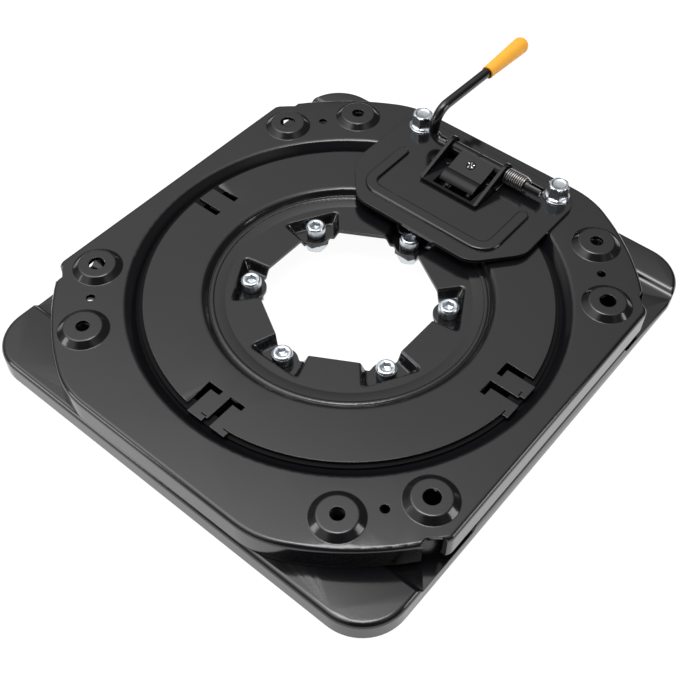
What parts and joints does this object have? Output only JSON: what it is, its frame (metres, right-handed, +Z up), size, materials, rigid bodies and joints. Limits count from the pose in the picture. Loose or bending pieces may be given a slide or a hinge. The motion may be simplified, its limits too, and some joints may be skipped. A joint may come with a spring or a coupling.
{
  "type": "swivel seat base",
  "caption": "Pressed steel swivel base for a camper seat, with a slotted hub disc, a turning upper plate and a sprung locking latch with a yellow grip.",
  "frame": {"origin": "on the swivel axis, in the plane that the lower plate's rim stands on", "axes": "+Z up along the swivel axis, +Y towards the latch, +X along the lever rod towards its spring"},
  "size_m": [0.3872, 0.5216, 0.0869],
  "materials": {
    "black_paint": "satin",
    "zinc_steel": "satin",
    "spring_steel": "satin",
    "glide_plastic": "matte",
    "grip_plastic": "satin"
  },
  "bodies": {
    "base": {"lower_plate": "black_paint", "slot_disc": "black_paint", "hub_screw_1": "zinc_steel", "hub_screw_2": "zinc_steel", "hub_screw_3": "zinc_steel", "hub_screw_4": "zinc_steel", "hub_screw_5": "zinc_steel", "hub_screw_6": "zinc_steel", "hub_nut_1": "zinc_steel", "hub_nut_2": "zinc_steel", "hub_nut_3": "zinc_steel", "hub_nut_4": "zinc_steel", "hub_nut_5": "zinc_steel", "hub_nut_6": "zinc_steel", "lower_glide_ring": "glide_plastic", "upper_glide_ring": "glide_plastic"},
    "turntable": {"upper_plate": "black_paint", "weld_nut_1": "zinc_steel", "weld_nut_2": "zinc_steel", "weld_nut_3": "zinc_steel", "weld_nut_4": "zinc_steel", "lock_plate": "black_paint", "flange_bolt_1": "zinc_steel", "flange_bolt_2": "zinc_steel", "flange_nut_1": "zinc_steel", "flange_nut_2": "zinc_steel", "latch_bracket": "black_paint", "bracket_rivet_1": "zinc_steel", "bracket_rivet_2": "zinc_steel", "torsion_spring": "spring_steel"},
    "lever": {"lever_rod": "black_paint", "latch": "black_paint", "latch_pin": "zinc_steel", "lever_grip": "grip_plastic"}
  },
  "joints": [
    {"name": "swivel", "type": "hinge", "parent": "base", "child": "turntable", "pos_m": [0, 0, 0.0355], "axis": [0, 0, 1], "continuous": true},
    {"name": "lever_rock", "type": "hinge", "parent": "turntable", "child": "lever", "pos_m": [0, 0.1755, 0.0515], "axis": [1, 0, 0], "range_deg": [-15, 8], "stiffness_Nm_per_rad": 1.5, "springref_deg": 2.86}
  ]
}
